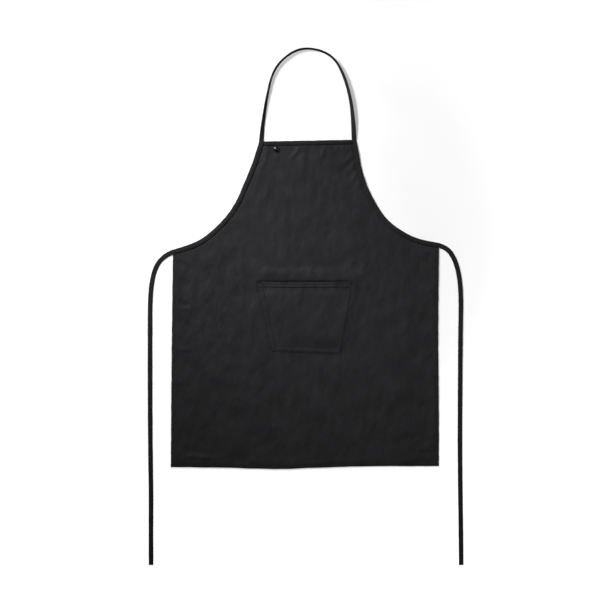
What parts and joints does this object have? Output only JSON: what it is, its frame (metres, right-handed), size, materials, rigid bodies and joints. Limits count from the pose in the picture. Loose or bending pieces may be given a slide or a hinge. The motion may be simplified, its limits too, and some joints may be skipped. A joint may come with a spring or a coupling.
{
  "type": "bib apron",
  "caption": "Flat-laid cloth bib apron with bound armholes, neck loop, two waist ties, a patch pocket and a press stud on the bib.",
  "frame": {"origin": "on the surface that the apron lies on, under the middle of the sewn cloth's outline, without its free tapes", "axes": "+X across the apron to the right of someone looking at its front, +Y from the bottom hem to the neck, +Z out of the front of the cloth"},
  "size_m": [0.8275, 1.3573, 0.013],
  "materials": {
    "twill": "matt black cotton twill",
    "tape": "matt black folded tape",
    "thread": "black polyester thread",
    "snap_black": "gloss black lacquer",
    "snap_brass": "blackened brass",
    "spring_wire": "spring wire"
  },
  "bodies": {
    "apron": {"body_panel": "twill", "bottom_hem": "twill", "left_side_hem": "twill", "right_side_hem": "twill", "bib_top_binding": "tape", "left_armhole_binding": "tape", "right_armhole_binding": "tape", "pocket_front": "twill", "pocket_mouth_hem": "twill", "snap_cap": "snap_black", "snap_socket": "snap_brass", "snap_spring": "spring_wire", "bib_top_stitching": "thread", "left_armhole_stitching": "thread", "right_armhole_stitching": "thread", "left_hem_stitching": "thread", "right_hem_stitching": "thread", "bottom_hem_stitching": "thread", "pocket_edge_stitching": "thread", "pocket_mouth_stitching": "thread", "pocket_bartacks": "thread", "tie_root_bartacks": "thread"},
    "neck_loop": {"neck_strap": "tape"},
    "left_tie": {"left_waist_tie": "tape"},
    "right_tie": {"right_waist_tie": "tape"}
  },
  "joints": [
    {"name": "neck_strap_fold", "type": "hinge", "parent": "apron", "child": "neck_loop", "pos_m": [-0.1205, 0.425, 0.0023], "axis": [0.9998, 0.0176, 0], "range_deg": [0, 150]},
    {"name": "left_tie_fold", "type": "hinge", "parent": "apron", "child": "left_tie", "pos_m": [-0.347, 0.1347, 0.0023], "axis": [0, 1, 0], "range_deg": [0, 160]},
    {"name": "right_tie_fold", "type": "hinge", "parent": "apron", "child": "right_tie", "pos_m": [0.3517, 0.1525, 0.0023], "axis": [0, -1, 0], "range_deg": [0, 160]}
  ]
}
